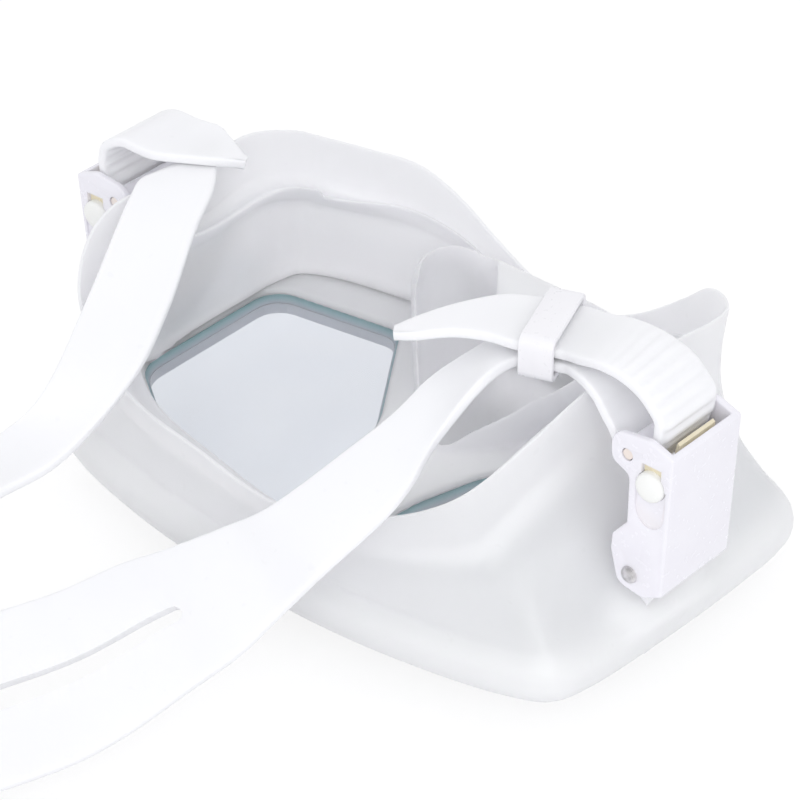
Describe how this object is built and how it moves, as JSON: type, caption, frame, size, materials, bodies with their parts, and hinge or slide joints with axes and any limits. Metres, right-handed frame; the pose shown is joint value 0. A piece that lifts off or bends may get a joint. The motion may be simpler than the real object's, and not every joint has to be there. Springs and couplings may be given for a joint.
{
  "type": "diving mask",
  "caption": "Two-lens diving mask with a silicone skirt and nose pocket, swivelling roller buckles with release buttons, and a split head strap with a keeper.",
  "frame": {"origin": "middle of the bridge pad, on the frame's front face", "axes": "+Z from the front face to the wearer's face, +X to one temple, -Y to the brow, where the strap lies"},
  "size_m": [0.175, 0.2545, 0.0815],
  "materials": {
    "skirt_silicone": "satin, softly translucent",
    "strap_silicone": "smooth satin",
    "frame_plastic": "polished",
    "buckle_plastic": "polished",
    "keeper_plastic": "satin",
    "ivory_plastic": "satin",
    "pin_steel": "satin",
    "lens_glass": "clear, tempered"
  },
  "bodies": {
    "mask": {"skirt": "skirt_silicone", "front_frame": "frame_plastic", "lens_right": "lens_glass", "lens_left": "lens_glass", "strap_back": "strap_silicone", "strap_run_right": "strap_silicone", "strap_run_left": "strap_silicone"},
    "buckle_right": {"buckle_housing_right": "buckle_plastic", "hinge_pin_right": "pin_steel", "roller_axle_right": "ivory_plastic", "strap_loop_right": "strap_silicone"},
    "roller_right": {"roller_right": "buckle_plastic"},
    "pawl_right": {"release_pawl_right": "ivory_plastic"},
    "button_brow_right": {"button_brow_right": "ivory_plastic"},
    "button_cheek_right": {"button_cheek_right": "ivory_plastic"},
    "buckle_left": {"buckle_housing_left": "buckle_plastic", "hinge_pin_left": "pin_steel", "roller_axle_left": "ivory_plastic", "strap_loop_left": "strap_silicone", "strap_tail_left": "strap_silicone"},
    "roller_left": {"roller_left": "buckle_plastic"},
    "pawl_left": {"release_pawl_left": "ivory_plastic"},
    "button_brow_left": {"button_brow_left": "ivory_plastic"},
    "button_cheek_left": {"button_cheek_left": "ivory_plastic"},
    "keeper": {"strap_keeper": "keeper_plastic"}
  },
  "joints": [
    {"name": "tilt_right", "type": "hinge", "parent": "mask", "child": "buckle_right", "pos_m": [0.0767, -0.006, 0.0243], "axis": [0, 1, 0], "range_deg": [-8, 45], "deforming": ["strap_run_right"]},
    {"name": "roll_right", "type": "hinge", "parent": "buckle_right", "child": "roller_right", "pos_m": [0.0747, -0.006, 0.0546], "axis": [0, 1, 0], "continuous": true},
    {"name": "press_right", "type": "slide", "parent": "buckle_right", "child": "button_brow_right", "axis": [0, 1, 0], "range_m": [0, 0.0012], "stiffness_N_per_m": 700},
    {"name": "press_cheek_right", "type": "slide", "parent": "buckle_right", "child": "button_cheek_right", "axis": [0, -1, 0], "range_m": [0, 0.0012]},
    {"name": "pawl_right", "type": "hinge", "parent": "buckle_right", "child": "pawl_right", "pos_m": [0.0828, -0.006, 0.0408], "axis": [0, 1, 0], "range_deg": [0, 3.4]},
    {"name": "tilt_left", "type": "hinge", "parent": "mask", "child": "buckle_left", "pos_m": [-0.0767, -0.006, 0.0243], "axis": [0, -1, 0], "range_deg": [-8, 35], "deforming": ["strap_run_left"]},
    {"name": "roll_left", "type": "hinge", "parent": "buckle_left", "child": "roller_left", "pos_m": [-0.07629, -0.006, 0.05466], "axis": [0, -1, 0], "continuous": true},
    {"name": "press_left", "type": "slide", "parent": "buckle_left", "child": "button_brow_left", "axis": [0, 1, 0], "range_m": [0, 0.0012], "stiffness_N_per_m": 700},
    {"name": "press_cheek_left", "type": "slide", "parent": "buckle_left", "child": "button_cheek_left", "axis": [0, -1, 0], "range_m": [0, 0.0012]},
    {"name": "pawl_left", "type": "hinge", "parent": "buckle_left", "child": "pawl_left", "pos_m": [-0.08365, -0.006, 0.04046], "axis": [0, -1, 0], "range_deg": [0, 3.4]},
    {"name": "keeper_slide", "type": "slide", "parent": "mask", "child": "keeper", "axis": [0.9336, 0.3584, 0], "range_m": [-0.0005, 0.0015]}
  ],
  "couplings": [
    {"joint": "press_cheek_right", "follows": "press_right", "ratio": 1},
    {"joint": "pawl_right", "follows": "press_right", "rad_per_m": 47.997},
    {"joint": "press_cheek_left", "follows": "press_left", "ratio": 1},
    {"joint": "pawl_left", "follows": "press_left", "rad_per_m": 47.997}
  ]
}
